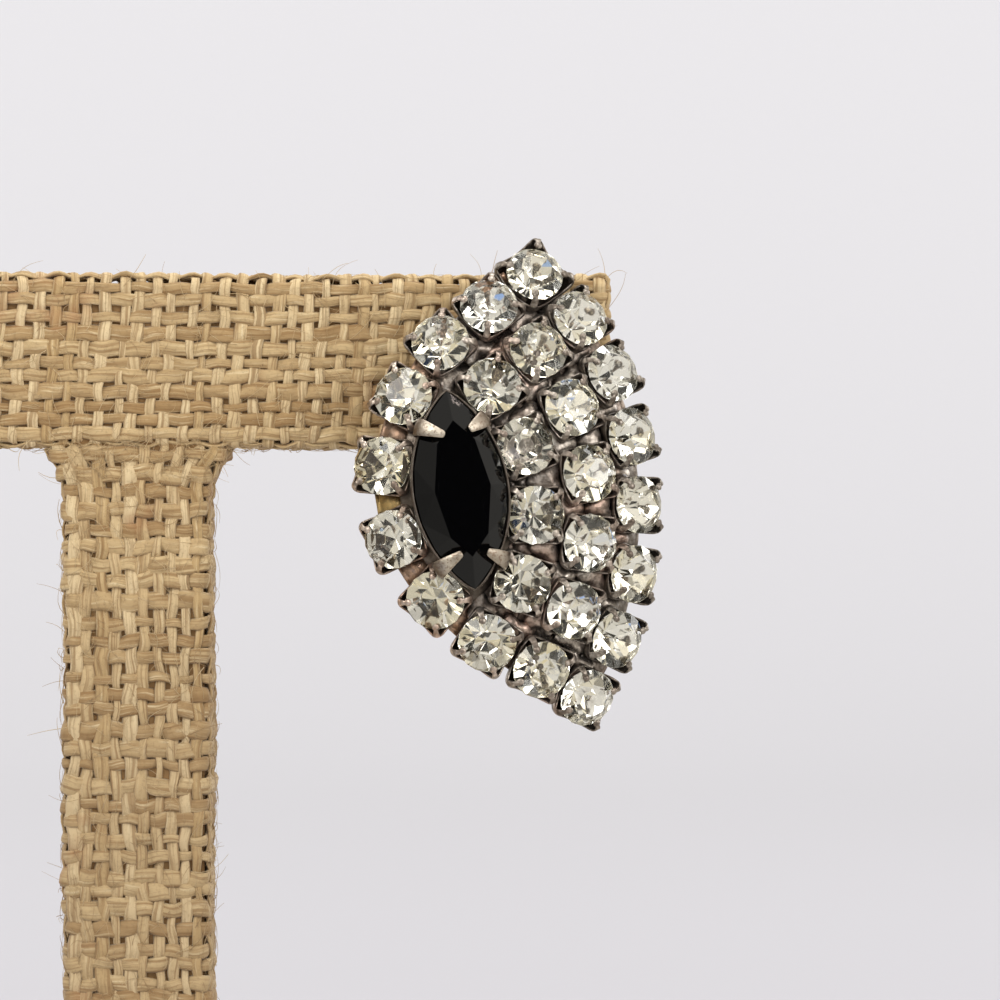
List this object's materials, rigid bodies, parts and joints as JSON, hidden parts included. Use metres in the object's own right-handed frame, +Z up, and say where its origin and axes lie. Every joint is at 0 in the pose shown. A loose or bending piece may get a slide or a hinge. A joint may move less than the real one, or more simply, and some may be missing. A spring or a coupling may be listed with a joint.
{
  "type": "rhinestone clip earring on a burlap display stand",
  "caption": "Domed clip earring of round clear rhinestones round a pointed oval black stone, clipped to the arm of a small burlap-covered T-shaped stand.",
  "frame": {"origin": "centre of the underside of the stand's base, on the surface that it rests on", "axes": "+Z up, +X to the right of a viewer who faces the stones, +Y from the front to the back"},
  "size_m": [0.0761, 0.034, 0.0927],
  "materials": {
    "burlap": "plain-woven natural burlap glued over board",
    "aged_plating": "aged grey-brown plating over brass, worn to copper in places",
    "clip_metal": "plated spring steel",
    "black_glass": "polished opaque black glass",
    "clear_glass": "cut clear glass with a foiled back"
  },
  "bodies": {
    "root": {"stand_tee": "burlap", "stand_base": "burlap", "setting": "aged_plating", "ear_clip": "clip_metal", "navette": "black_glass", "chaton_outer_1": "clear_glass", "chaton_outer_2": "clear_glass", "chaton_outer_3": "clear_glass", "chaton_outer_4": "clear_glass", "chaton_outer_5": "clear_glass", "chaton_outer_6": "clear_glass", "chaton_outer_7": "clear_glass", "chaton_outer_8": "clear_glass", "chaton_middle_1": "clear_glass", "chaton_middle_2": "clear_glass", "chaton_middle_3": "clear_glass", "chaton_middle_4": "clear_glass", "chaton_middle_5": "clear_glass", "chaton_middle_6": "clear_glass", "chaton_middle_7": "clear_glass", "chaton_inner_1": "clear_glass", "chaton_inner_2": "clear_glass", "chaton_inner_3": "clear_glass", "chaton_inner_4": "clear_glass", "chaton_inner_5": "clear_glass", "chaton_inner_6": "clear_glass", "chaton_left_1": "clear_glass", "chaton_left_2": "clear_glass", "chaton_left_3": "clear_glass", "chaton_left_4": "clear_glass"}
  },
  "joints": []
}
